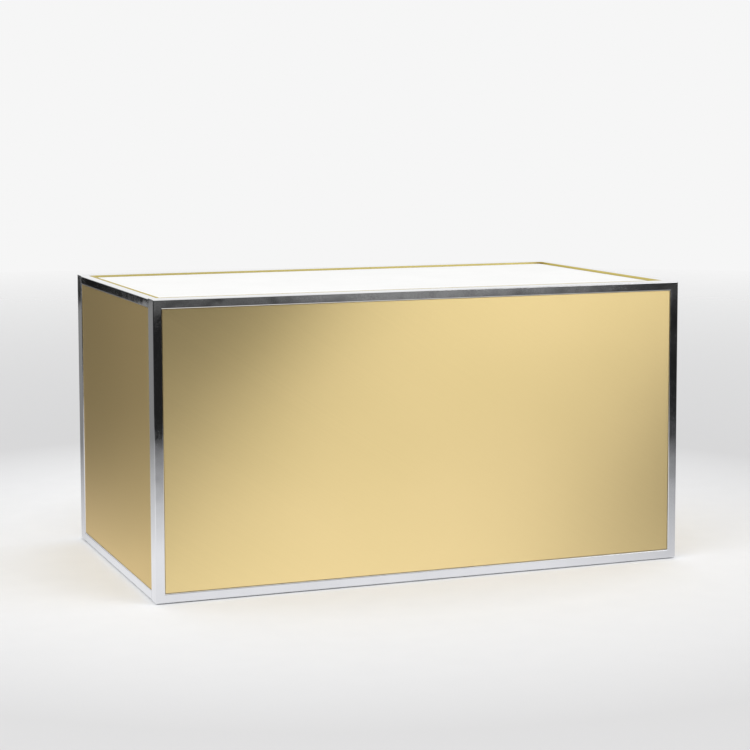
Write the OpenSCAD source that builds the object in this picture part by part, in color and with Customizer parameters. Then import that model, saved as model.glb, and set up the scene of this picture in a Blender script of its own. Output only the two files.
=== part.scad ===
// Card box: a polished tube frame with satin gold panels and a lift-off white top.
// +X runs along the length, -Y is the front, +Z is up. The origin is the centre of
// the underside, on the plane that the pads stand on. All sizes are in millimetres.

/* [Overall] */
// Overall length, along X
box_l = 610; // [450:5:900]
// Overall width, along Y
box_w = 356; // [260:1:600]
// Overall height with the pads, along Z
box_h = 318; // [240:1:500]

/* [Frame tube] */
// Visible face of every tube
tube_face = 10; // [10:0.5:16]
// Depth of the front and back ring tube, along Y
ring_depth = 20; // [20:0.5:30]
// Wall of the tube
tube_wall = 1; // [0.8:0.1:1.5]
// Outside corner radius of the tube
tube_radius = 1.2; // [0.3:0.1:1.4]

/* [Wall panels] */
// Thickness of the gold sheet
panel_t = 3; // [2:0.5:4]
// How far the front and back panels lie behind the frame face
front_recess = 1.2; // [0.5:0.1:6]
// How far the side panels lie behind the frame face
side_recess = 1; // [0.5:0.1:1]
// Clearance round the edge of a wall panel
panel_gap = 0.4; // [0.2:0.1:0.8]

/* [Card slot] */
// Length of the card slot in the back panel
slot_l = 240; // [200:5:300]
// Height of the card slot
slot_h = 16; // [12:0.5:20]
// From the underside of the top rail down to the middle of the slot
slot_drop = 30; // [26:0.5:50]

/* [Lift-off top] */
// Thickness of the white top
lid_t = 5; // [3:0.5:5]
// How far the white top lies below the frame
lid_recess = 2; // [1:0.5:2]
// Clearance between the white top and the liner
lid_gap = 1; // [0.5:0.1:2]
// Radius on the corners of the white top
lid_corner_r = 3; // [2:0.5:6]
// Radius of the eased edges of the white top
lid_ease = 0.8; // [0.3:0.1:1.2]
// Thickness of the gold liner round the top
liner_t = 3; // [2:0.5:4]

/* [Ledges and floor] */
// Width of the ledge bars
ledge_w = 15; // [12:0.5:20]
// Thickness of the ledge bars
ledge_t = 3; // [2:0.5:3]
// Thickness of the floor panel
floor_t = 4; // [3:0.5:4.5]
// Clearance round the edge of the floor panel
floor_gap = 0.5; // [0.3:0.1:1]

/* [Retaining angles] */
// Leg of the angle strip
angle_leg = 10; // [9:0.5:12]
// Thickness of the angle strip
angle_t = 1.2; // [0.8:0.1:1.2]
// Fillet inside the angle strip
angle_fillet = 0.3; // [0.1:0.1:0.4]
// Gap between the end of an upright angle and the angles above and below it
angle_gap = 0.3; // [0.2:0.1:1]

/* [Screws] */
// Thread diameter
screw_d = 2.2; // [2:0.1:2.2]
// Pan head diameter
screw_head_d = 4; // [3.5:0.1:4]
// Pan head height
screw_head_h = 1.6; // [1.2:0.1:1.6]
// Thread length below the head
screw_l = 5; // [4:0.5:6]
// Clearance on radius between a thread and its hole
screw_clear = 0.1; // [0.05:0.05:0.2]
// Clearance between a screw head and the fillet beside it
screw_head_clear = 0.1; // [0.05:0.05:0.3]
// Widest spacing between screws
screw_pitch = 150; // [100:5:200]
// From the end of a strip to its first screw
screw_end = 30; // [20:1:40]

/* [Pads] */
// Diameter of the pads under the corners
pad_d = 8; // [5:0.5:8]
// Thickness of the pads
pad_t = 1; // [0.6:0.1:2]
// From the end of the box to the middle of a pad
pad_inset = 5; // [5:0.5:12]

/* [Hidden] */
$fn = 48;

half_l = box_l / 2;
half_w = box_w / 2;
frame_h = box_h - pad_t;
frame_mid = pad_t + frame_h / 2;

// Inside of the tube frame
open_x = half_l - tube_face;
open_y = half_w - ring_depth;
rail_top = pad_t + tube_face;
rail_under = box_h - tube_face;
open_h = rail_under - rail_top;

// Ring centre lines and the backs of the wall panels, as distances from the centre
ring_y = half_w - ring_depth / 2;
front_back_y = half_w - front_recess - panel_t;
side_back_x = half_l - side_recess - panel_t;

// Heights in the top and in the floor
lid_top = box_h - lid_recess;
lid_under = lid_top - lid_t;
floor_top = rail_top;
floor_under = floor_top - floor_t;

// Screws of the front and back angles go through the middle of the leg's free width
front_screw_y = front_back_y - (angle_t + angle_leg) / 2;
// Screws of the side angles sit close to the heel, because the tube ends soon after it
side_screw_x = side_back_x - angle_t - angle_fillet - screw_head_clear - screw_head_d / 2;
hole_d = screw_d + 2 * screw_clear;
// Screws of the floor go through the middle of the ledge
ledge_screw_in = ledge_w / 2;
// Reach of every cutter past the face that it goes through
cut = 0.5;

// ---- Spacing of screws ----

// Places of evenly spaced screws along a strip of the given length, about its middle
function screw_places(len) =
    let (run = len - 2 * screw_end, count = max(2, ceil(run / screw_pitch) + 1))
    [for (i = [0 : count - 1]) -run / 2 + i * run / (count - 1)];

front_h_len = 2 * open_x;
side_h_len = 2 * open_y;
upright_len = open_h - 2 * (angle_leg + angle_gap);

// ---- Profiles ----

// Solid rectangle with rounded corners, centred on the origin
module round_rect(w, h, r) {
    square([w - 2 * r, h], center = true);
    square([w, h - 2 * r], center = true);
    for (x = [-1, 1], y = [-1, 1])
        translate([x * (w / 2 - r), y * (h / 2 - r)]) circle(r = r);
}

// Hollow tube section
module tube_section(w, h) {
    difference() {
        round_rect(w, h, tube_radius);
        square([w - 2 * tube_wall, h - 2 * tube_wall], center = true);
    }
}

// Angle section with its heel at the origin, legs along +X and +Y
module angle_section() {
    square([angle_leg, angle_t]);
    square([angle_t, angle_leg]);
    difference() {
        translate([angle_t, angle_t]) square(angle_fillet);
        translate([angle_t + angle_fillet, angle_t + angle_fillet]) circle(r = angle_fillet);
    }
}

// ---- Frame members ----

// One mitred ring tube along X. Its outer face is at z = 0 and it hangs below.
// hole_side is +1 or -1: the side along Y on which the panel angle is screwed to it.
module ring_tube(len, hole_places, hole_side) {
    hole_y = hole_side * (front_screw_y - ring_y);
    difference() {
        intersection() {
            translate([-len / 2, 0, -tube_face / 2])
                rotate([90, 0, 90])
                    linear_extrude(len) tube_section(ring_depth, tube_face);
            rotate([90, 0, 0])
                linear_extrude(ring_depth + 2 * cut, center = true)
                    polygon([
                        [-len / 2, 0], [len / 2, 0],
                        [len / 2 - tube_face, -tube_face], [-len / 2 + tube_face, -tube_face]
                    ]);
        }
        for (x = hole_places)
            translate([x, hole_y, -tube_face - cut])
                cylinder(d = hole_d, h = tube_wall + 2 * cut);
    }
}

// A rail of a ring. side is -1 for the front ring and +1 for the back ring.
module ring_rail(side, top) {
    translate([0, side * ring_y, top ? box_h : pad_t])
        mirror([0, 0, top ? 0 : 1])
            ring_tube(box_l, screw_places(front_h_len), side);
}

// A corner post: the same tube as a rail, turned upright. hand is -1 left, +1 right.
module ring_post(side, hand) {
    translate([hand * half_l, side * ring_y, frame_mid])
        rotate([0, hand * 90, 0])
            ring_tube(frame_h, screw_places(upright_len), side);
}

// A post with the extra holes for the side panel's upright angle, in its inner Y face
module drilled_post(side, hand) {
    color([0.80, 0.81, 0.82])
    difference() {
        ring_post(side, hand);
        for (z = screw_places(upright_len))
            translate([hand * side_screw_x, side * open_y, frame_mid + z])
                rotate([90, 0, 0])
                    cylinder(d = hole_d, h = 2 * (tube_wall + cut), center = true);
    }
}

// A side rail along Y between the two rings
module side_rail(hand, top) {
    rail_z = top ? box_h - tube_face / 2 : pad_t + tube_face / 2;
    wall_z = top ? rail_under : rail_top;
    color([0.80, 0.81, 0.82])
    difference() {
        translate([hand * (half_l - tube_face / 2), open_y, rail_z])
            rotate([90, 0, 0])
                linear_extrude(2 * open_y) tube_section(tube_face, tube_face);
        for (y = screw_places(side_h_len))
            translate([hand * side_screw_x, y, wall_z])
                cylinder(d = hole_d, h = 2 * (tube_wall + cut), center = true);
    }
}

module front_top_rail() { color([0.80, 0.81, 0.82]) ring_rail(-1, true); }
module front_bottom_rail() { color([0.80, 0.81, 0.82]) ring_rail(-1, false); }
module back_top_rail() { color([0.80, 0.81, 0.82]) ring_rail(1, true); }
module back_bottom_rail() { color([0.80, 0.81, 0.82]) ring_rail(1, false); }
module front_left_post() { drilled_post(-1, -1); }
module front_right_post() { drilled_post(-1, 1); }
module back_left_post() { drilled_post(1, -1); }
module back_right_post() { drilled_post(1, 1); }
module left_top_rail() { side_rail(-1, true); }
module left_bottom_rail() { side_rail(-1, false); }
module right_top_rail() { side_rail(1, true); }
module right_bottom_rail() { side_rail(1, false); }

// ---- Panels ----

panel_h = open_h - 2 * panel_gap;
long_panel_l = 2 * (open_x - panel_gap);
short_panel_l = 2 * (open_y - panel_gap);
slot_z = rail_under - slot_drop;

// A long wall panel, for the front or the back
module long_panel(side) {
    translate([0, side * (front_back_y + panel_t / 2), (rail_top + rail_under) / 2])
        cube([long_panel_l, panel_t, panel_h], center = true);
}

// A short wall panel, for the left or the right
module short_panel(hand) {
    translate([hand * (side_back_x + panel_t / 2), 0, (rail_top + rail_under) / 2])
        cube([panel_t, short_panel_l, panel_h], center = true);
}

module front_panel() { color([0.83, 0.74, 0.50]) long_panel(-1); }
module left_panel() { color([0.83, 0.74, 0.50]) short_panel(-1); }
module right_panel() { color([0.83, 0.74, 0.50]) short_panel(1); }

// The back panel has the card slot, with round ends
module back_panel() {
    color([0.83, 0.74, 0.50])
    difference() {
        long_panel(1);
        translate([0, front_back_y - cut, slot_z])
            rotate([-90, 0, 0])
                linear_extrude(panel_t + 2 * cut) {
                    square([slot_l - slot_h, slot_h], center = true);
                    for (x = [-1, 1])
                        translate([x * (slot_l - slot_h) / 2, 0]) circle(d = slot_h);
                }
    }
}

module floor_panel() {
    color([0.93, 0.93, 0.92])
    difference() {
        translate([0, 0, floor_top - floor_t / 2])
            cube([2 * (open_x - floor_gap), 2 * (open_y - floor_gap), floor_t], center = true);
        floor_screw_places() cylinder(d = hole_d, h = screw_l + screw_clear);
    }
}

// A sheet with rounded corners and eased edges, centred on the origin. Two bars with
// rounded profiles cross, and a disc with a rounded rim fills each corner.
module eased_sheet(w, d, t, corner_r, ease) {
    rotate([90, 0, 0])
        linear_extrude(d - 2 * corner_r, center = true) round_rect(w, t, ease);
    rotate([90, 0, 90])
        linear_extrude(w - 2 * corner_r, center = true) round_rect(d, t, ease);
    for (x = [-1, 1], y = [-1, 1])
        translate([x * (w / 2 - corner_r), y * (d / 2 - corner_r)])
            rotate_extrude()
                intersection() {
                    round_rect(2 * corner_r, t, ease);
                    translate([0, -t / 2]) square([corner_r, t]);
                }
}

module lid_panel() {
    color([0.97, 0.97, 0.96])
    translate([0, 0, lid_under + lid_t / 2])
        eased_sheet(
            2 * (open_x - liner_t - lid_gap),
            2 * (open_y - liner_t - lid_gap),
            lid_t, lid_corner_r, lid_ease
        );
}

// ---- Liner and ledges ----

// A bar along X against the inner face of the front or back ring
module long_bar(side, t, z0, z1) {
    translate([-open_x, side > 0 ? open_y - t : -open_y, z0])
        cube([2 * open_x, t, z1 - z0]);
}

// A bar along Y against a side rail, between the two long bars
module short_bar(hand, t, z0, z1) {
    translate([hand > 0 ? open_x - t : -open_x, -open_y + t, z0])
        cube([t, 2 * (open_y - t), z1 - z0]);
}

module front_liner() { color([0.83, 0.74, 0.50]) long_bar(-1, liner_t, lid_under, box_h); }
module back_liner() { color([0.83, 0.74, 0.50]) long_bar(1, liner_t, lid_under, box_h); }
module left_liner() { color([0.83, 0.74, 0.50]) short_bar(-1, liner_t, lid_under, box_h); }
module right_liner() { color([0.83, 0.74, 0.50]) short_bar(1, liner_t, lid_under, box_h); }

module long_lid_ledge(side) {
    color([0.72, 0.72, 0.73]) long_bar(side, ledge_w, lid_under - ledge_t, lid_under);
}
module short_lid_ledge(hand) {
    color([0.72, 0.72, 0.73]) short_bar(hand, ledge_w, lid_under - ledge_t, lid_under);
}
module front_lid_ledge() { long_lid_ledge(-1); }
module back_lid_ledge() { long_lid_ledge(1); }
module left_lid_ledge() { short_lid_ledge(-1); }
module right_lid_ledge() { short_lid_ledge(1); }

// Floor ledges are drilled for the screws that come up through them
module long_floor_ledge(side) {
    color([0.72, 0.72, 0.73])
    difference() {
        long_bar(side, ledge_w, floor_under - ledge_t, floor_under);
        long_ledge_screw_places(side)
            translate([0, 0, -cut]) cylinder(d = hole_d, h = ledge_t + 2 * cut);
    }
}
module short_floor_ledge(hand) {
    color([0.72, 0.72, 0.73])
    difference() {
        short_bar(hand, ledge_w, floor_under - ledge_t, floor_under);
        short_ledge_screw_places(hand)
            translate([0, 0, -cut]) cylinder(d = hole_d, h = ledge_t + 2 * cut);
    }
}
module front_floor_ledge() { long_floor_ledge(-1); }
module back_floor_ledge() { long_floor_ledge(1); }
module left_floor_ledge() { short_floor_ledge(-1); }
module right_floor_ledge() { short_floor_ledge(1); }

// ---- Retaining angles ----

// An angle along X behind a long panel. up is +1 on the bottom rail, -1 under the top rail.
module long_angle(side, up) {
    difference() {
        translate([0, side * front_back_y, up > 0 ? rail_top : rail_under])
            rotate([90, 0, 90])
                mirror([side > 0 ? 1 : 0, 0, 0])
                    mirror([0, up > 0 ? 0 : 1, 0])
                        linear_extrude(front_h_len, center = true) angle_section();
        for (x = screw_places(front_h_len))
            translate([x, side * front_screw_y, up > 0 ? rail_top : rail_under])
                cylinder(d = hole_d, h = 2 * (angle_t + cut), center = true);
    }
}

// An upright angle behind the end of a long panel, against a post
module long_upright(side, hand) {
    difference() {
        translate([hand * open_x, side * front_back_y, frame_mid])
            mirror([hand > 0 ? 1 : 0, 0, 0])
                mirror([0, side > 0 ? 1 : 0, 0])
                    linear_extrude(upright_len, center = true) angle_section();
        for (z = screw_places(upright_len))
            translate([hand * open_x, side * front_screw_y, frame_mid + z])
                rotate([0, 90, 0])
                    cylinder(d = hole_d, h = 2 * (angle_t + cut), center = true);
    }
}

// An angle along Y behind a short panel
module short_angle(hand, up) {
    difference() {
        translate([hand * side_back_x, 0, up > 0 ? rail_top : rail_under])
            mirror([hand > 0 ? 1 : 0, 0, 0])
                mirror([0, 0, up > 0 ? 0 : 1])
                    rotate([90, 0, 0])
                        linear_extrude(side_h_len, center = true) angle_section();
        for (y = screw_places(side_h_len))
            translate([hand * side_screw_x, y, up > 0 ? rail_top : rail_under])
                cylinder(d = hole_d, h = 2 * (angle_t + cut), center = true);
    }
}

// An upright angle behind the end of a short panel, against a post
module short_upright(hand, side) {
    difference() {
        translate([hand * side_back_x, side * open_y, frame_mid])
            mirror([hand > 0 ? 1 : 0, 0, 0])
                mirror([0, side > 0 ? 1 : 0, 0])
                    linear_extrude(upright_len, center = true) angle_section();
        for (z = screw_places(upright_len))
            translate([hand * side_screw_x, side * open_y, frame_mid + z])
                rotate([90, 0, 0])
                    cylinder(d = hole_d, h = 2 * (angle_t + cut), center = true);
    }
}

module long_angles(side) {
    color([0.75, 0.76, 0.77]) {
        for (up = [-1, 1]) long_angle(side, up);
        for (hand = [-1, 1]) long_upright(side, hand);
    }
}
module short_angles(hand) {
    color([0.75, 0.76, 0.77]) {
        for (up = [-1, 1]) short_angle(hand, up);
        for (side = [-1, 1]) short_upright(hand, side);
    }
}
module front_angles() { long_angles(-1); }
module back_angles() { long_angles(1); }
module left_angles() { short_angles(-1); }
module right_angles() { short_angles(1); }

// ---- Screws ----

// A pan-head screw with the underside of its head at z = 0 and its thread along -Z.
// The head has an upright rim, a rounded shoulder of two slopes and a flat crown.
module screw() {
    rotate_extrude()
        polygon([
            [0, -screw_l], [screw_d / 4, -screw_l], [screw_d / 2, -screw_l + screw_d / 2],
            [screw_d / 2, 0], [screw_head_d / 2, 0], [screw_head_d / 2, screw_head_h * 0.5],
            [screw_head_d / 2 * 0.85, screw_head_h * 0.8], [screw_head_d / 4, screw_head_h],
            [0, screw_head_h]
        ]);
}

module long_screws(side) {
    color([0.70, 0.71, 0.72]) {
        for (x = screw_places(front_h_len)) {
            translate([x, side * front_screw_y, rail_top + angle_t]) screw();
            translate([x, side * front_screw_y, rail_under - angle_t]) rotate([180, 0, 0]) screw();
        }
        for (z = screw_places(upright_len), hand = [-1, 1])
            translate([hand * (open_x - angle_t), side * front_screw_y, frame_mid + z])
                rotate([0, -hand * 90, 0]) screw();
    }
}
module short_screws(hand) {
    color([0.70, 0.71, 0.72]) {
        for (y = screw_places(side_h_len)) {
            translate([hand * side_screw_x, y, rail_top + angle_t]) screw();
            translate([hand * side_screw_x, y, rail_under - angle_t]) rotate([180, 0, 0]) screw();
        }
        for (z = screw_places(upright_len), side = [-1, 1])
            translate([hand * side_screw_x, side * (open_y - angle_t), frame_mid + z])
                rotate([side * 90, 0, 0]) screw();
    }
}
module front_screws() { long_screws(-1); }
module back_screws() { long_screws(1); }
module left_screws() { short_screws(-1); }
module right_screws() { short_screws(1); }

// Puts its child at each floor screw of one long ledge, on the underside of the ledge
module long_ledge_screw_places(side) {
    for (x = screw_places(2 * open_x))
        translate([x, side * (open_y - ledge_screw_in), floor_under - ledge_t]) children();
}
module short_ledge_screw_places(hand) {
    for (y = screw_places(2 * (open_y - ledge_w)))
        translate([hand * (open_x - ledge_screw_in), y, floor_under - ledge_t]) children();
}
module floor_screw_places() {
    for (s = [-1, 1]) {
        long_ledge_screw_places(s) children();
        short_ledge_screw_places(s) children();
    }
}
module floor_screws() {
    color([0.70, 0.71, 0.72]) floor_screw_places() rotate([180, 0, 0]) screw();
}

// ---- Pads ----

module pads() {
    color([0.25, 0.25, 0.25])
    for (x = [-1, 1], y = [-1, 1])
        translate([x * (half_l - pad_inset), y * ring_y, 0]) cylinder(d = pad_d, h = pad_t);
}

front_top_rail();
front_bottom_rail();
front_left_post();
front_right_post();
back_top_rail();
back_bottom_rail();
back_left_post();
back_right_post();
left_top_rail();
left_bottom_rail();
right_top_rail();
right_bottom_rail();
front_panel();
back_panel();
left_panel();
right_panel();
floor_panel();
lid_panel();
front_liner();
back_liner();
left_liner();
right_liner();
front_lid_ledge();
back_lid_ledge();
left_lid_ledge();
right_lid_ledge();
front_floor_ledge();
back_floor_ledge();
left_floor_ledge();
right_floor_ledge();
front_angles();
back_angles();
left_angles();
right_angles();
front_screws();
back_screws();
left_screws();
right_screws();
floor_screws();
pads();
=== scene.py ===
import logging
import math
from dataclasses import dataclass, field
from enum import Enum
from typing import Any, Iterable

import bmesh
import bpy
import numpy as np
from mathutils import Matrix, Vector


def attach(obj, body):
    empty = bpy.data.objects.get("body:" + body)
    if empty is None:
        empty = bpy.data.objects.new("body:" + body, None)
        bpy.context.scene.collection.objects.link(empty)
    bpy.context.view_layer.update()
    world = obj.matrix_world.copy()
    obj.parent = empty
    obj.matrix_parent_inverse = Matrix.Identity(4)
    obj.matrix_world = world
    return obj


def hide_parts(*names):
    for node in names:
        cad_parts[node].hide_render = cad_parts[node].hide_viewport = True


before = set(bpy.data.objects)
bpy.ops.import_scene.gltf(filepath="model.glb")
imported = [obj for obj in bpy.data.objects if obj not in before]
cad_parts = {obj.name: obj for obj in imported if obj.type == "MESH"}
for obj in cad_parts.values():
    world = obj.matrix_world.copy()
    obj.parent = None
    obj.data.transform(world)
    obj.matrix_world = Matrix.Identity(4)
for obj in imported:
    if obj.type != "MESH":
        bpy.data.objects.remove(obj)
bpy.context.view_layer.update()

logging.basicConfig(level=logging.INFO, format="%(message)s")
LOG = logging.getLogger("card_box")

MM = 0.001
MERGE = 1e-7  # metres: points closer than this are one
TINY = 1e-6   # keeps a division by zero away


# ---- Colour and node helpers -------------------------------------------------

def linear(hex_colour: str) -> tuple[float, float, float, float]:
    """Turns an sRGB hex colour into the linear colour that a shader takes.

    Args:
        hex_colour: A colour such as "#E6D091".

    Returns:
        Red, green, blue and an alpha of 1, linear.
    """
    parts = (int(hex_colour.lstrip("#")[i:i + 2], 16) / 255 for i in (0, 2, 4))
    return (*((c / 12.92 if c <= 0.04045 else ((c + 0.055) / 1.055) ** 2.4) for c in parts), 1.0)


def add_node(
    tree: bpy.types.NodeTree,
    kind: str,
    settings: dict[str, Any] | None = None,
    values: dict[str | int, Any] | None = None,
    links: dict[str | int, bpy.types.NodeSocket] | None = None,
) -> bpy.types.Node:
    """Adds one shader node with its settings, input values and links.

    Args:
        tree: The node tree of the material or world.
        kind: The node's type name.
        settings: Properties to set on the node.
        values: Input sockets to give a constant value.
        links: Input sockets to link, each with the output that feeds it.

    Returns:
        The new node.
    """
    node = tree.nodes.new(kind)
    for name, value in (settings or {}).items():
        setattr(node, name, value)
    for socket, value in (values or {}).items():
        node.inputs[socket].default_value = value
    for socket, source in (links or {}).items():
        tree.links.new(source, node.inputs[socket])
    return node


def ramp(
    tree: bpy.types.NodeTree,
    source: bpy.types.NodeSocket,
    stops: Iterable[tuple[float, tuple[float, float, float, float]]],
) -> bpy.types.NodeSocket:
    """Adds a colour ramp.

    Args:
        tree: The node tree.
        source: The value that drives the ramp.
        stops: Places from 0 to 1 and their linear colours.

    Returns:
        The ramp's colour output.
    """
    node = add_node(tree, "ShaderNodeValToRGB", links={"Fac": source})
    stops = list(stops)
    elements = node.color_ramp.elements
    while len(elements) < len(stops):
        elements.new(0.5)
    for element, (place, colour) in zip(elements, stops):
        element.position = place
        element.color = colour
    return node.outputs["Color"]


def new_material(name: str) -> tuple[bpy.types.Material, bpy.types.NodeTree, bpy.types.Node]:
    """Makes an empty node material.

    Args:
        name: The material's name.

    Returns:
        The material, its tree and its output node.
    """
    material = bpy.data.materials.new(name)
    material.use_nodes = True
    tree = material.node_tree
    tree.nodes.clear()
    return material, tree, tree.nodes.new("ShaderNodeOutputMaterial")


def object_noise(
    tree: bpy.types.NodeTree,
    scale: tuple[float, float, float],
    detail: float = 2.0,
    roughness: float = 0.5,
) -> bpy.types.NodeSocket:
    """Adds a noise pattern on Object coordinates.

    Args:
        tree: The node tree.
        scale: Cycles per metre along X, Y and Z.
        detail: Octaves of noise.
        roughness: Strength of the fine octaves.

    Returns:
        The noise value, about 0.5.
    """
    place = add_node(tree, "ShaderNodeTexCoord").outputs["Object"]
    mapped = add_node(tree, "ShaderNodeMapping", values={"Scale": scale}, links={"Vector": place})
    noise = add_node(
        tree, "ShaderNodeTexNoise", values={"Scale": 1.0, "Detail": detail, "Roughness": roughness},
        links={"Vector": mapped.outputs["Vector"]},
    )
    return noise.outputs["Fac"]


def to_range(
    tree: bpy.types.NodeTree,
    source: bpy.types.NodeSocket,
    low: float,
    high: float,
    start: float = 0.3,
    end: float = 0.7,
) -> bpy.types.NodeSocket:
    """Maps a value from start..end to low..high, clamped.

    Args:
        tree: The node tree.
        source: The value to map.
        low: The result at start.
        high: The result at end.
        start: Lowest input.
        end: Highest input.

    Returns:
        The mapped value.
    """
    node = add_node(
        tree, "ShaderNodeMapRange",
        values={"From Min": start, "From Max": end, "To Min": low, "To Max": high},
        links={"Value": source},
    )
    return node.outputs["Result"]


# ---- Finishes ----------------------------------------------------------------

@dataclass(frozen=True)
class PolishedStainless:
    """Grade 304 stainless tube, welded, ground and mirror buffed.

    The eye sees a near mirror with a soft haze where the wheel dwelt, and faint
    buffing lines that stretch the reflections along the tube.
    """

    colour: str = "#EFF0F1"
    haze_colour: str = "#E6E7E9"
    sharp_roughness: float = 0.05
    hazy_roughness: float = 0.17
    haze_per_metre: float = 9.0       # patches about 110 mm across
    buff_lines_per_metre: float = 700.0  # 1.4 mm apart: finer ones don't show
    ripples_per_metre: float = 18.0
    ripple_depth: float = 0.0004      # metres
    tint_span: tuple[float, float] = (0.35, 0.75)    # haze from the bright tint to the hazy one
    dwell_span: tuple[float, float] = (0.38, 0.72)   # haze from the sharp polish to the hazy one
    buff_spread: tuple[float, float] = (-0.02, 0.03)  # what a buffing line adds to the roughness

    def build(self) -> bpy.types.Material:
        """Builds the node material.

        Returns:
            The material.
        """
        material, tree, out = new_material("polished_stainless")
        haze = object_noise(tree, (self.haze_per_metre,) * 3, detail=4.0, roughness=0.6)
        lines = object_noise(tree, (self.buff_lines_per_metre,) * 3, detail=1.0)
        colour = ramp(tree, haze, zip(self.tint_span, map(linear, (self.colour, self.haze_colour))))
        base = to_range(tree, haze, self.sharp_roughness, self.hazy_roughness, *self.dwell_span)
        fine = to_range(tree, lines, *self.buff_spread)
        rough = add_node(
            tree, "ShaderNodeMath", {"operation": "ADD", "use_clamp": True}, links={0: base, 1: fine}
        )
        ripple = add_node(
            tree, "ShaderNodeBump", values={"Strength": 1.0, "Distance": self.ripple_depth},
            links={"Height": object_noise(tree, (self.ripples_per_metre,) * 3)},
        )
        shader = add_node(
            tree, "ShaderNodeBsdfPrincipled", values={"Metallic": 1.0},
            links={
                "Base Color": colour, "Roughness": rough.outputs[0],
                "Normal": ripple.outputs["Normal"],
            },
        )
        tree.links.new(shader.outputs["BSDF"], out.inputs["Surface"])
        return material


@dataclass(frozen=True)
class HairlineGoldSheet:
    """Gold-anodised composite sheet, hairline brushed on a slant and sealed.

    Fine scratches run across each wall, down to the right by the slant. They
    smear what the sheet mirrors at right angles to themselves, so a broad sheen
    crosses the wall from corner to corner, and single scratches hardly show.
    """

    name: str = "hairline_gold_sheet"
    warm: str = "#EDD59B"
    olive: str = "#E8D196"
    grazing: str = "#F9EDD4"              # the tint at a glancing angle
    roughness: float = 0.308
    anisotropy: float = 0.988
    slant: float = 32.8                   # degrees below level, to the right
    hair_run_per_metre: float = 1.2       # scratches most of a metre long
    hairs_per_metre: float = 800.0        # 1.3 mm apart: real ones are finer and wouldn't show
    hair_depth: float = 0.0000004         # metres
    hair_span: tuple[float, float] = (0.25, 0.75)      # the scratch pattern's useful range
    hair_shades: tuple[float, float] = (0.985, 1.005)  # how much a scratch dims or lifts the tint
    hair_spread: float = 0.015            # how much a scratch changes the roughness
    drift_per_metre: tuple[float, float, float] = (3.0, 3.0, 4.0)  # cloudy change of tint
    drift_span: tuple[float, float] = (0.35, 0.65)

    def along_and_across(self, tree: bpy.types.NodeTree) -> bpy.types.NodeSocket:
        """Adds the place on a wall, measured along and across the scratches.

        The level direction of a wall is up x normal; the place along it and
        the height are then turned by the slant.

        Args:
            tree: The node tree.

        Returns:
            A vector of metres along, metres across and zero.
        """
        coords = add_node(tree, "ShaderNodeTexCoord")
        level = add_node(
            tree, "ShaderNodeVectorMath", {"operation": "CROSS_PRODUCT"},
            values={0: (0, 0, 1)}, links={1: coords.outputs["Normal"]},
        )
        sideways = add_node(
            tree, "ShaderNodeVectorMath", {"operation": "DOT_PRODUCT"},
            links={0: coords.outputs["Object"], 1: level.outputs["Vector"]},
        )
        height = add_node(tree, "ShaderNodeSeparateXYZ", links={0: coords.outputs["Object"]})
        flat = add_node(
            tree, "ShaderNodeCombineXYZ",
            links={"X": sideways.outputs["Value"], "Y": height.outputs["Z"]},
        )
        turned = add_node(
            tree, "ShaderNodeMapping", values={"Rotation": (0, 0, math.radians(self.slant))},
            links={"Vector": flat.outputs["Vector"]},
        )
        return turned.outputs["Vector"]

    def hairs(self, tree: bpy.types.NodeTree) -> bpy.types.NodeSocket:
        """Adds the scratch pattern.

        Args:
            tree: The node tree.

        Returns:
            The pattern's value, about 0.5.
        """
        stretched = add_node(
            tree, "ShaderNodeMapping",
            values={"Scale": (self.hair_run_per_metre, self.hairs_per_metre, 1.0)},
            links={"Vector": self.along_and_across(tree)},
        )
        noise = add_node(
            tree, "ShaderNodeTexNoise", values={"Scale": 1.0, "Detail": 1.0, "Roughness": 0.5},
            links={"Vector": stretched.outputs["Vector"]},
        )
        return noise.outputs["Fac"]

    def build(self) -> bpy.types.Material:
        """Builds the node material.

        Returns:
            The material.
        """
        material, tree, out = new_material(self.name)
        hairs = self.hairs(tree)
        drift = object_noise(tree, self.drift_per_metre)
        tint = ramp(tree, drift, zip(self.drift_span, map(linear, (self.olive, self.warm))))
        shade = to_range(tree, hairs, *self.hair_shades, *self.hair_span)
        grey = add_node(tree, "ShaderNodeCombineXYZ", links={0: shade, 1: shade, 2: shade})
        colour = add_node(
            tree, "ShaderNodeMix", {"data_type": "RGBA", "blend_type": "MULTIPLY"}, {"Factor": 1.0},
            {6: tint, 7: grey.outputs["Vector"]},
        )
        smooth, coarse = self.roughness - self.hair_spread, self.roughness + self.hair_spread
        rough = to_range(tree, hairs, smooth, coarse, *self.hair_span)
        bump = add_node(
            tree, "ShaderNodeBump", values={"Strength": 1.0, "Distance": self.hair_depth},
            links={"Height": hairs},
        )
        level = add_node(tree, "ShaderNodeTangent", {"direction_type": "RADIAL", "axis": "Z"})
        shader = add_node(
            tree, "ShaderNodeBsdfPrincipled",
            values={
                "Metallic": 1.0, "Anisotropic": self.anisotropy,
                "Anisotropic Rotation": (90.0 - self.slant) / 360.0,
                "Specular Tint": linear(self.grazing),
            },
            links={
                "Base Color": colour.outputs[2], "Roughness": rough,
                "Normal": bump.outputs["Normal"], "Tangent": level.outputs["Tangent"],
            },
        )
        tree.links.new(shader.outputs["BSDF"], out.inputs["Surface"])
        return material


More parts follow.
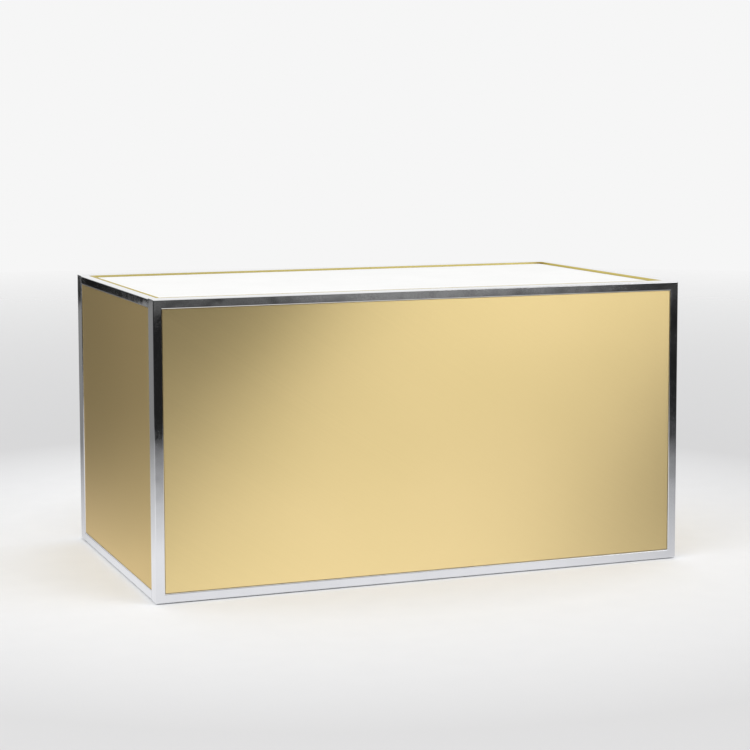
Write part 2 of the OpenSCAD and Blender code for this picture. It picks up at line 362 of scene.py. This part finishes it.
@dataclass(frozen=True)
class PlainFinish:
    """A finish of one base colour with a mottle, a roughness spread and a fine bump."""

    name: str
    colour: str
    mottle: str
    roughness: float
    roughness_spread: float
    per_metre: tuple[float, float, float]  # cycles of the mottle along X, Y and Z
    depth: float                           # of the bump, in metres
    metallic: float = 0.0
    ior: float = 1.5
    specular: float = 0.5
    mottle_span: tuple[float, float] = (0.35, 0.7)
    bump_strength: float = 0.3

    def build(self) -> bpy.types.Material:
        """Builds the node material.

        Returns:
            The material.
        """
        material, tree, out = new_material(self.name)
        noise = object_noise(tree, self.per_metre, detail=4.0, roughness=0.6)
        colour = ramp(tree, noise, zip(self.mottle_span, map(linear, (self.colour, self.mottle))))
        rough = to_range(tree, noise, self.roughness, self.roughness + self.roughness_spread)
        bump = add_node(
            tree, "ShaderNodeBump", values={"Strength": self.bump_strength, "Distance": self.depth},
            links={"Height": noise},
        )
        shader = add_node(
            tree, "ShaderNodeBsdfPrincipled",
            values={"Metallic": self.metallic, "IOR": self.ior, "Specular IOR Level": self.specular},
            links={"Base Color": colour, "Roughness": rough, "Normal": bump.outputs["Normal"]},
        )
        tree.links.new(shader.outputs["BSDF"], out.inputs["Surface"])
        return material


# Opal cast acrylic, frosted on the show side: an even matte white with faint handling marks
WHITE_ACRYLIC = PlainFinish(
    "frosted_white_acrylic", "#F5F5F4", "#F2F2F1", 0.8, 0.1, (14.0,) * 3, 0.00001,
    ior=1.49, specular=0.3,
)
# Melamine-faced board: a fine pebbled matte white
WHITE_BOARD = PlainFinish("melamine_board", "#E9E9E6", "#E0E0DC", 0.5, 0.12, (450.0,) * 3, 0.00004)
# Hot-rolled flat bar, pickled: dull grey with cloudy patches
FLAT_BAR = PlainFinish(
    "pickled_flat_bar", "#9FA1A3", "#8A8C8F", 0.38, 0.14, (60.0,) * 3, 0.00005, metallic=1.0,
)
# Extruded aluminium, mill finish: die lines run along the strip
MILL_ALUMINIUM = PlainFinish(
    "mill_aluminium", "#C2C4C6", "#B2B4B7", 0.3, 0.12, (25.0, 25.0, 350.0), 0.00002, metallic=1.0,
)
# Bright zinc, electroplated over steel: a cool grey shine with a fine grain
ZINC = PlainFinish(
    "bright_zinc", "#C6C9CC", "#B0B4BA", 0.22, 0.14, (300.0,) * 3, 0.00001, metallic=1.0,
)
# Nitrile rubber, moulded: a black that never quite shines, with a fine leathery skin
PAD_RUBBER = PlainFinish("nitrile_rubber", "#2B2B2B", "#383838", 0.65, 0.15, (400.0,) * 3, 0.00005)


# ---- Meshes ------------------------------------------------------------------

def grid_mesh(name: str, points: np.ndarray, closed_u: bool = False) -> bpy.types.Object:
    """Makes a mesh from one or more grids of points.

    Points that coincide, as at the pole of a round grid, become one.

    Args:
        name: The object's name.
        points: An array of shape (rows, columns, 3) or (grids, rows, columns, 3), in metres.
        closed_u: Whether the last column joins the first.

    Returns:
        The new object, at the origin.
    """
    rows, columns = points.shape[-3:-1]
    index = np.arange(points.size // 3).reshape(-1, rows, columns)
    right = np.roll(index, -1, axis=2)
    last = columns if closed_u else columns - 1
    quads = np.stack(
        [index[:, :-1, :last], index[:, 1:, :last], right[:, 1:, :last], right[:, :-1, :last]], axis=-1
    ).reshape(-1, 4)
    mesh = bpy.data.meshes.new(name)
    mesh.from_pydata(points.reshape(-1, 3).tolist(), [], quads.tolist())
    merged = bmesh.new()
    merged.from_mesh(mesh)
    bmesh.ops.remove_doubles(merged, verts=merged.verts, dist=MERGE)
    merged.to_mesh(mesh)
    merged.free()
    piece = bpy.data.objects.new(name, mesh)
    bpy.context.scene.collection.objects.link(piece)
    return piece


def ring_points(inner: float, outer: float, height: float, count: int = 96) -> np.ndarray:
    """Works out a flat ring round the Z axis: radius times (cosine, sine) of the angle.

    Args:
        inner: Inner radius, in metres.
        outer: Outer radius, in metres.
        height: Height of the ring.
        count: Points round the ring.

    Returns:
        A grid of shape (2, count, 3).
    """
    angle = np.linspace(0, 2 * np.pi, count, endpoint=False)
    radius = np.array([inner, outer])[:, None]
    flat = np.stack([radius * np.cos(angle), radius * np.sin(angle)], axis=-1)
    return np.concatenate([flat, np.full((2, count, 1), height)], axis=-1)


# ---- The box -----------------------------------------------------------------

class Side(Enum):
    """The four walls of the box."""

    FRONT = "front"
    BACK = "back"
    LEFT = "left"
    RIGHT = "right"


def dress(material: bpy.types.Material, names: Iterable[str]) -> None:
    """Gives a material to CAD nodes.

    Args:
        material: The finish.
        names: The nodes' names.
    """
    for name in names:
        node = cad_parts[name]
        node.data.materials.clear()
        node.data.materials.append(material)
        LOG.info("%s: %s", name, material.name)


@dataclass
class TubeFrame:
    """The two mitred tube rings and the four side rails between them."""

    finish: PolishedStainless = field(default_factory=PolishedStainless)

    def members(self) -> list[str]:
        """Lists the twelve tubes.

        Returns:
            The names of their nodes.
        """
        rails = [f"{side.value}_{level}_rail" for side in Side for level in ("top", "bottom")]
        ends = ("front_left", "front_right", "back_left", "back_right")
        return rails + [f"{end}_post" for end in ends]

    def make(self) -> None:
        """Dresses the tubes."""
        dress(self.finish.build(), self.members())


@dataclass
class Walls:
    """The four gold panels and the angle strips that hold them."""

    long_finish: HairlineGoldSheet = field(default_factory=HairlineGoldSheet)
    end_finish: HairlineGoldSheet = field(
        default_factory=lambda: HairlineGoldSheet(name="hairline_gold_end_sheet", slant=-2.3)
    )

    def make(self) -> None:
        """Dresses the panels and angles."""
        dress(self.long_finish.build(), ["front_panel", "back_panel"])
        dress(self.end_finish.build(), ["left_panel", "right_panel"])
        dress(MILL_ALUMINIUM.build(), [f"{side.value}_angles" for side in Side])


@dataclass
class PanHeadScrews:
    """The self-tapping pan-head screws, with a cross recess and a rolled thread, in millimetres.

    A screw is one closed surface of rows along its outline and columns round
    its axis. Its seat, the underside of the head, is at height 0.
    """

    head_height: float = 1.6
    recess_depth: float = 1.0
    recess_floor: float = 0.45            # outline of the recess floor, as a share of its rim
    arm_length: float = 1.05
    arm_half_width: float = 0.28
    # Radius and height down the head, from just outside the recess to the neck
    head_outline: tuple[tuple[float, float], ...] = (
        (1.12, 1.6), (1.35, 1.54), (1.6, 1.38), (1.8, 1.12), (1.93, 0.82), (2.0, 0.5), (2.0, 0.08),
        (1.94, 0.0), (1.0, 0.0),
    )
    core_radius: float = 0.85
    thread_depth: float = 0.25
    pitch: float = 0.8
    rows_per_turn: int = 4
    thread_end: float = -4.2
    tip: float = -5.0
    reach: float = 8.0                    # no two screws are this close, and no screw is this long
    rim_share: float = 0.99               # a point this near the greatest radius is on the head
    turn: float = 137.5                   # degrees from the recess of one screw to the next
    crease: float = 35.0                  # degrees: a sharper edge than this stays sharp

    def columns(self) -> np.ndarray:
        """Works out the angles of the columns.

        Returns:
            The middle, one corner, the notch after it and the next arm's corner, for each arm.
        """
        corner = math.atan2(self.arm_half_width, self.arm_length)
        quarter = np.array([0.0, corner, math.pi / 4, math.pi / 2 - corner])
        return (np.arange(4)[:, None] * math.pi / 2 + quarter).ravel()

    def recess(self, angle: np.ndarray) -> np.ndarray:
        """Works out the cross outline's radius.

        From the nearest arm's middle line, at angle a, it is the lesser of
        arm length / cosine of a and half width / sine of a.

        Args:
            angle: Angles round the axis.

        Returns:
            The radius at each angle.
        """
        arm = np.abs((angle + math.pi / 4) % (math.pi / 2) - math.pi / 4)
        end = self.arm_length / np.cos(arm)
        flank = self.arm_half_width / np.maximum(np.sin(arm), TINY)
        return np.minimum(end, flank)

    def screw(self) -> np.ndarray:
        """Works out one screw's grid, along +Z.

        The thread's radius is the core's plus a triangle wave of height over
        pitch less angle over a full turn, so its crest runs as a helix.

        Returns:
            A grid of shape (rows, columns, 3), in metres.
        """
        angle = self.columns()
        cross = self.recess(angle)
        flat = 0 * cross
        top = self.head_height
        bottom = top - self.recess_depth
        rows = [(flat, bottom), (cross * self.recess_floor, bottom), (cross, top)]
        rows += [(radius + flat, height) for radius, height in self.head_outline]
        count = round(-self.thread_end / self.pitch * self.rows_per_turn)
        for height in np.linspace(-self.pitch / self.rows_per_turn, self.thread_end, count):
            crest = 1 - np.abs(2 * ((height / self.pitch + angle / (2 * math.pi)) % 1) - 1)
            rows.append((self.core_radius + self.thread_depth * crest, height))
        rows += [(self.core_radius / 2 + flat, (self.thread_end + self.tip) / 2), (flat, self.tip)]
        radius = np.array([row[0] for row in rows])
        height = np.broadcast_to(np.array([row[1] for row in rows])[:, None], radius.shape)
        return np.stack([radius * np.cos(angle), radius * np.sin(angle), height], axis=-1) * MM

    def seats(self, node: str) -> Iterable[tuple[np.ndarray, np.ndarray]]:
        """Finds each screw of a CAD node by its points.

        The points within reach of any one of them are one screw. Its longest
        side is its axis, and the head is at the end where the points lie
        further from the axis.

        Args:
            node: The CAD node's name.

        Yields:
            The middle of the head's underside, and the unit vector out of the head.
        """
        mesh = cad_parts[node].data
        points = np.empty(len(mesh.vertices) * 3)
        mesh.vertices.foreach_get("co", points)
        points = points.reshape(-1, 3)
        while len(points):
            near = np.linalg.norm(points - points[0], axis=1) < self.reach * MM
            low, high = points[near].min(axis=0), points[near].max(axis=0)
            way = np.eye(3)[np.argmax(high - low)]
            offset = points[near] - (low + high) / 2
            height = offset @ way
            far = np.linalg.norm(offset - height[:, None] * way, axis=1)
            out = way * np.sign(height[far > far.max() * self.rim_share].mean())
            yield (low + high) / 2 + out * (np.ptp(height) / 2 - self.head_height * MM), out
            points = points[~near]

    def make(self) -> None:
        """Makes the screws of each CAD node as one piece that stands for the node."""
        screw = self.screw()
        finish = ZINC.build()
        for node in [f"{side.value}_screws" for side in Side] + ["floor_screws"]:
            grids = []
            for number, (seat, out) in enumerate(self.seats(node)):
                across = np.roll(np.abs(out), 1)
                turn = math.radians(self.turn * number)
                first = math.cos(turn) * across + math.sin(turn) * np.cross(out, across)
                grids.append(seat + screw @ np.array([first, np.cross(out, first), out]))
            piece = grid_mesh(f"{node}_detailed", np.array(grids), closed_u=True)
            piece.data.shade_smooth()
            piece.data.set_sharp_from_angle(angle=math.radians(self.crease))
            piece.data.materials.append(finish)
            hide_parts(node)
            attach(piece, "box")
            LOG.info("%s: %d screws, %s", node, len(grids), finish.name)


@dataclass
class TopAndFloor:
    """The lift-off white top with its liner, the floor panel, their ledges and the pads."""

    liner: HairlineGoldSheet = field(
        default_factory=lambda: HairlineGoldSheet(
            name="gold_liner_edge", warm="#D7C781", olive="#CDBD73", grazing="#E2D58E",
            roughness=0.2, anisotropy=0.0,
        )
    )

    def make(self) -> None:
        """Dresses the top, liner, ledges, floor and pads."""
        dress(WHITE_ACRYLIC.build(), ["lid_panel"])
        dress(self.liner.build(), [f"{side.value}_liner" for side in Side])
        ledges = [f"{side.value}_{what}_ledge" for side in Side for what in ("lid", "floor")]
        dress(FLAT_BAR.build(), ledges)
        dress(WHITE_BOARD.build(), ["floor_panel"])
        dress(PAD_RUBBER.build(), ["pads"])


# ---- The studio --------------------------------------------------------------

@dataclass(frozen=True)
class Card:
    """An upright card: its place along Y, its X range at foot and head, and its heights, in metres."""

    name: str
    distance: float
    foot: tuple[float, float]
    head: tuple[float, float]
    heights: tuple[float, float]
    colour: str
    strength: float = 1.0


# Where the cards stand along Y, how far they reach along X and how high the window is, in metres
FRONT, BACK, FAR_BACK = -3.1, 3.16, 3.18
LEFT, RIGHT, BACK_RIGHT = -0.8, 4.6, -0.25
SILL, HEAD = 0.405, 1.936

# What the polished and brushed metal mirrors: a tall slanting window to the right
# of the viewer between two black flags, dim sills under it, and behind the box a
# pale wall with a dark one before part of it
CARDS = (
    Card("left_sill", FRONT, (LEFT, 0.774), (LEFT, 0.774), (0.0, SILL), "#606060"),
    Card("middle_sill", FRONT, (0.774, 1.687), (0.774, 1.687), (0.0, SILL), "#8D8D8D"),
    Card("right_sill", FRONT, (1.687, RIGHT), (1.687, RIGHT), (0.0, SILL), "#353535"),
    Card("left_flag", FRONT, (LEFT, 1.06), (LEFT, 2.807), (SILL, HEAD), "#101010"),
    Card("window", FRONT, (1.06, 2.591), (2.807, RIGHT), (SILL, HEAD), "#FFFFFF", 3.523),
    Card("right_flag", FRONT, (2.591, RIGHT), (RIGHT, 4.61), (SILL, HEAD), "#161616"),
    Card("back_wall", BACK, (-1.322, BACK_RIGHT), (-1.322, BACK_RIGHT), (0.0, 0.399), "#161616"),
    Card("back_pale_wall", FAR_BACK, (-6.0, BACK_RIGHT), (-6.0, BACK_RIGHT), (0.0, 1.006), "#E1E1E1"),
)


@dataclass(frozen=True)
class Lamp:
    """A soft square lamp: its place and the length of its side, in metres, and its power in watts."""

    name: str
    place: tuple[float, float, float]
    size: float
    watts: float


LAMPS = (
    Lamp("key", (1.6, -2.0, 2.4), 1.8, 15.0),
    Lamp("fill", (-2.2, -1.2, 2.0), 2.0, 14.0),
)


@dataclass(frozen=True)
class Studio:
    """A pale floor with a painted pool of light round the box, a white surround, soft lamps and the
    dark room beyond the floor.
    """

    near_floor: tuple[str, str] = ("#F8F9FB", "#F6F7F9")   # a faint mottle, the floor's colour inside the painted pool of light
    mottle_per_metre: float = 30.0
    mottle_span: tuple[float, float] = (0.3, 0.7)
    floor_roughness: float = 0.9
    floor_specular: float = 0.1
    # painted shade: the floor darkens to this grey away from the painted pool of light
    far_floor: str = "#D8D8D9"
    floor_middle: tuple[float, float, float] = (0.0, 0.1, 0.0)   # the middle of the painted pool of light, the palest part
    floor_dims: tuple[float, float] = (0.43, 0.8)   # painted pool of light: from the near floor's shade to the far one's
    floor_fades: tuple[float, float] = (0.9, 4.4)   # from the floor into the surround
    pool_centre: tuple[float, float, float] = (-0.296, -0.192, 0.0)
    pool_core: tuple[float, float, float] = (0.391, 0.162, 1.0)
    pool_edge: tuple[float, float] = (0.050, 0.880)   # a reflected floor is pale, then dark
    pool: str = "#EEEEF1"
    room_reaches: float = 8.0
    room_height: float = 0.002                        # just above the floor
    room_turns: tuple[float, float] = (-0.2, 0.4)     # along Y, from the front room to the back one
    front_room: str = "#1F1F1F"
    back_room: str = "#858585"
    surround: str = "#F6F6F6"
    lamp_aim: tuple[float, float, float] = (0.0, 0.0, 0.15)

    def reflection_only(self, card: bpy.types.Object) -> None:
        """Leaves a card visible to reflections alone.

        Args:
            card: The card's object.
        """
        card.visible_camera = False
        card.visible_diffuse = False
        card.visible_shadow = False
        card.visible_transmission = False

    def floor(self) -> None:
        """Makes the pale floor, with a painted pool of light that darkens outward to a grey, fading
        into the surround.
        """
        material, tree, out = new_material("pale_floor_painted_pool")
        noise = object_noise(tree, (self.mottle_per_metre,) * 3, detail=4.0)
        near = ramp(tree, noise, zip(self.mottle_span, map(linear, self.near_floor)))
        place = add_node(tree, "ShaderNodeTexCoord").outputs["Object"]
        radius = add_node(
            tree, "ShaderNodeVectorMath", {"operation": "DISTANCE"},
            values={1: self.floor_middle}, links={0: place},
        )
        # painted pool of light: the floor's colour darkens with distance from its middle
        dims = to_range(tree, radius.outputs["Value"], 0.0, 1.0, *self.floor_dims)
        fade = to_range(tree, radius.outputs["Value"], 0.0, 1.0, *self.floor_fades)
        colour = add_node(
            tree, "ShaderNodeMix", {"data_type": "RGBA"},
            values={7: linear(self.far_floor)}, links={0: dims, 6: near},
        )
        shader = add_node(
            tree, "ShaderNodeBsdfPrincipled",
            values={"Roughness": self.floor_roughness, "Specular IOR Level": self.floor_specular},
            links={"Base Color": colour.outputs[2]},
        )
        clear = add_node(tree, "ShaderNodeBsdfTransparent")
        mix = add_node(
            tree, "ShaderNodeMixShader", links={0: fade, 1: shader.outputs[0], 2: clear.outputs[0]}
        )
        tree.links.new(mix.outputs[0], out.inputs["Surface"])
        piece = grid_mesh("floor", ring_points(0.0, self.floor_fades[1], 0.0), closed_u=True)
        piece.data.materials.append(material)

    def room(self) -> None:
        """Makes the pool of light and the dim room beyond it, which only reflections see.

        The pool's edge follows the distance from a rectangle: the length of
        the part of |place - centre| that is more than the rectangle's half size.
        """
        material, tree, out = new_material("dim_room")
        place = add_node(tree, "ShaderNodeTexCoord").outputs["Object"]
        steps = (
            ("SUBTRACT", {1: self.pool_centre}), ("ABSOLUTE", {}),
            ("SUBTRACT", {1: self.pool_core}), ("MAXIMUM", {1: (0, 0, 0)}),
        )
        reach = place
        for operation, value in steps:
            node = add_node(tree, "ShaderNodeVectorMath", {"operation": operation}, value, {0: reach})
            reach = node.outputs["Vector"]
        distance = add_node(tree, "ShaderNodeVectorMath", {"operation": "LENGTH"}, links={0: reach})
        dim = to_range(tree, distance.outputs["Value"], 0.0, 1.0, *self.pool_edge)
        depth = add_node(tree, "ShaderNodeSeparateXYZ", links={0: place}).outputs["Y"]
        behind = to_range(tree, depth, 0.0, 1.0, *self.room_turns)
        room = ramp(tree, behind, zip((0.0, 1.0), map(linear, (self.front_room, self.back_room))))
        shade = add_node(
            tree, "ShaderNodeMix", {"data_type": "RGBA"},
            values={6: linear(self.pool)}, links={0: dim, 7: room},
        )
        glow = add_node(tree, "ShaderNodeEmission", links={"Color": shade.outputs[2]})
        tree.links.new(glow.outputs[0], out.inputs["Surface"])
        disc = ring_points(0.0, self.room_reaches, self.room_height)
        piece = grid_mesh("room_card", disc, closed_u=True)
        piece.data.materials.append(material)
        self.reflection_only(piece)

    def card(self, card: Card) -> None:
        """Stands a glowing card up that only reflections see.

        Args:
            card: Its place, size and glow.
        """
        material, tree, out = new_material(card.name)
        glow = add_node(
            tree, "ShaderNodeEmission", values={"Color": linear(card.colour), "Strength": card.strength}
        )
        tree.links.new(glow.outputs[0], out.inputs["Surface"])
        edges = zip((card.foot, card.head), card.heights)
        corners = np.array([[[x, card.distance, height] for x in edge] for edge, height in edges])
        piece = grid_mesh(card.name, corners)
        piece.data.materials.append(material)
        self.reflection_only(piece)

    def world(self) -> None:
        """Sets the white surround."""
        world = bpy.data.worlds.new("surround")
        bpy.context.scene.world = world
        world.use_nodes = True
        tree = world.node_tree
        tree.nodes.clear()
        out = tree.nodes.new("ShaderNodeOutputWorld")
        sky = add_node(
            tree, "ShaderNodeBackground", values={"Color": linear(self.surround), "Strength": 1.0}
        )
        tree.links.new(sky.outputs[0], out.inputs["Surface"])

    def lamp(self, lamp: Lamp) -> None:
        """Adds a soft square lamp that faces the box.

        Args:
            lamp: Its place, size and power.
        """
        data = bpy.data.lights.new(lamp.name, "AREA")
        data.size = lamp.size
        data.energy = lamp.watts
        piece = bpy.data.objects.new(lamp.name, data)
        piece.location = lamp.place
        aim = Vector(self.lamp_aim) - Vector(lamp.place)
        piece.rotation_euler = aim.to_track_quat("-Z", "Y").to_euler()
        piece.visible_glossy = False
        bpy.context.scene.collection.objects.link(piece)

    def make(self) -> None:
        """Builds the studio."""
        self.floor()
        self.room()
        self.world()
        for card in CARDS:
            self.card(card)
        for lamp in LAMPS:
            self.lamp(lamp)


@dataclass(frozen=True)
class Viewpoint:
    """The camera, turned from looking along +Y, in metres and degrees."""

    place: tuple[float, float, float] = (-0.812, -2.154, 0.503)
    turn: float = 20.79
    tip: float = 5.23
    roll: float = 0.13
    lens: float = 95.6                  # millimetres, as is the sensor
    sensor_width: float = 36.0
    shift_y: float = -0.1

    def make(self) -> None:
        """Makes the camera and gives it to the scene."""
        data = bpy.data.cameras.new("camera")
        data.sensor_width = self.sensor_width
        data.lens = self.lens
        data.shift_y = self.shift_y
        camera = bpy.data.objects.new("camera", data)
        camera.matrix_world = (
            Matrix.Translation(self.place)
            @ Matrix.Rotation(-math.radians(self.turn), 4, "Z")
            @ Matrix.Rotation(math.radians(90 - self.tip), 4, "X")
            @ Matrix.Rotation(-math.radians(self.roll), 4, "Z")
        )
        bpy.context.scene.collection.objects.link(camera)
        bpy.context.scene.camera = camera


def main() -> None:
    """Builds the camera, the box and the studio."""
    Viewpoint().make()
    TubeFrame().make()
    Walls().make()
    PanHeadScrews().make()
    TopAndFloor().make()
    Studio().make()
    bpy.context.scene.view_settings.view_transform = "Standard"


if __name__ == "__main__":
    main()
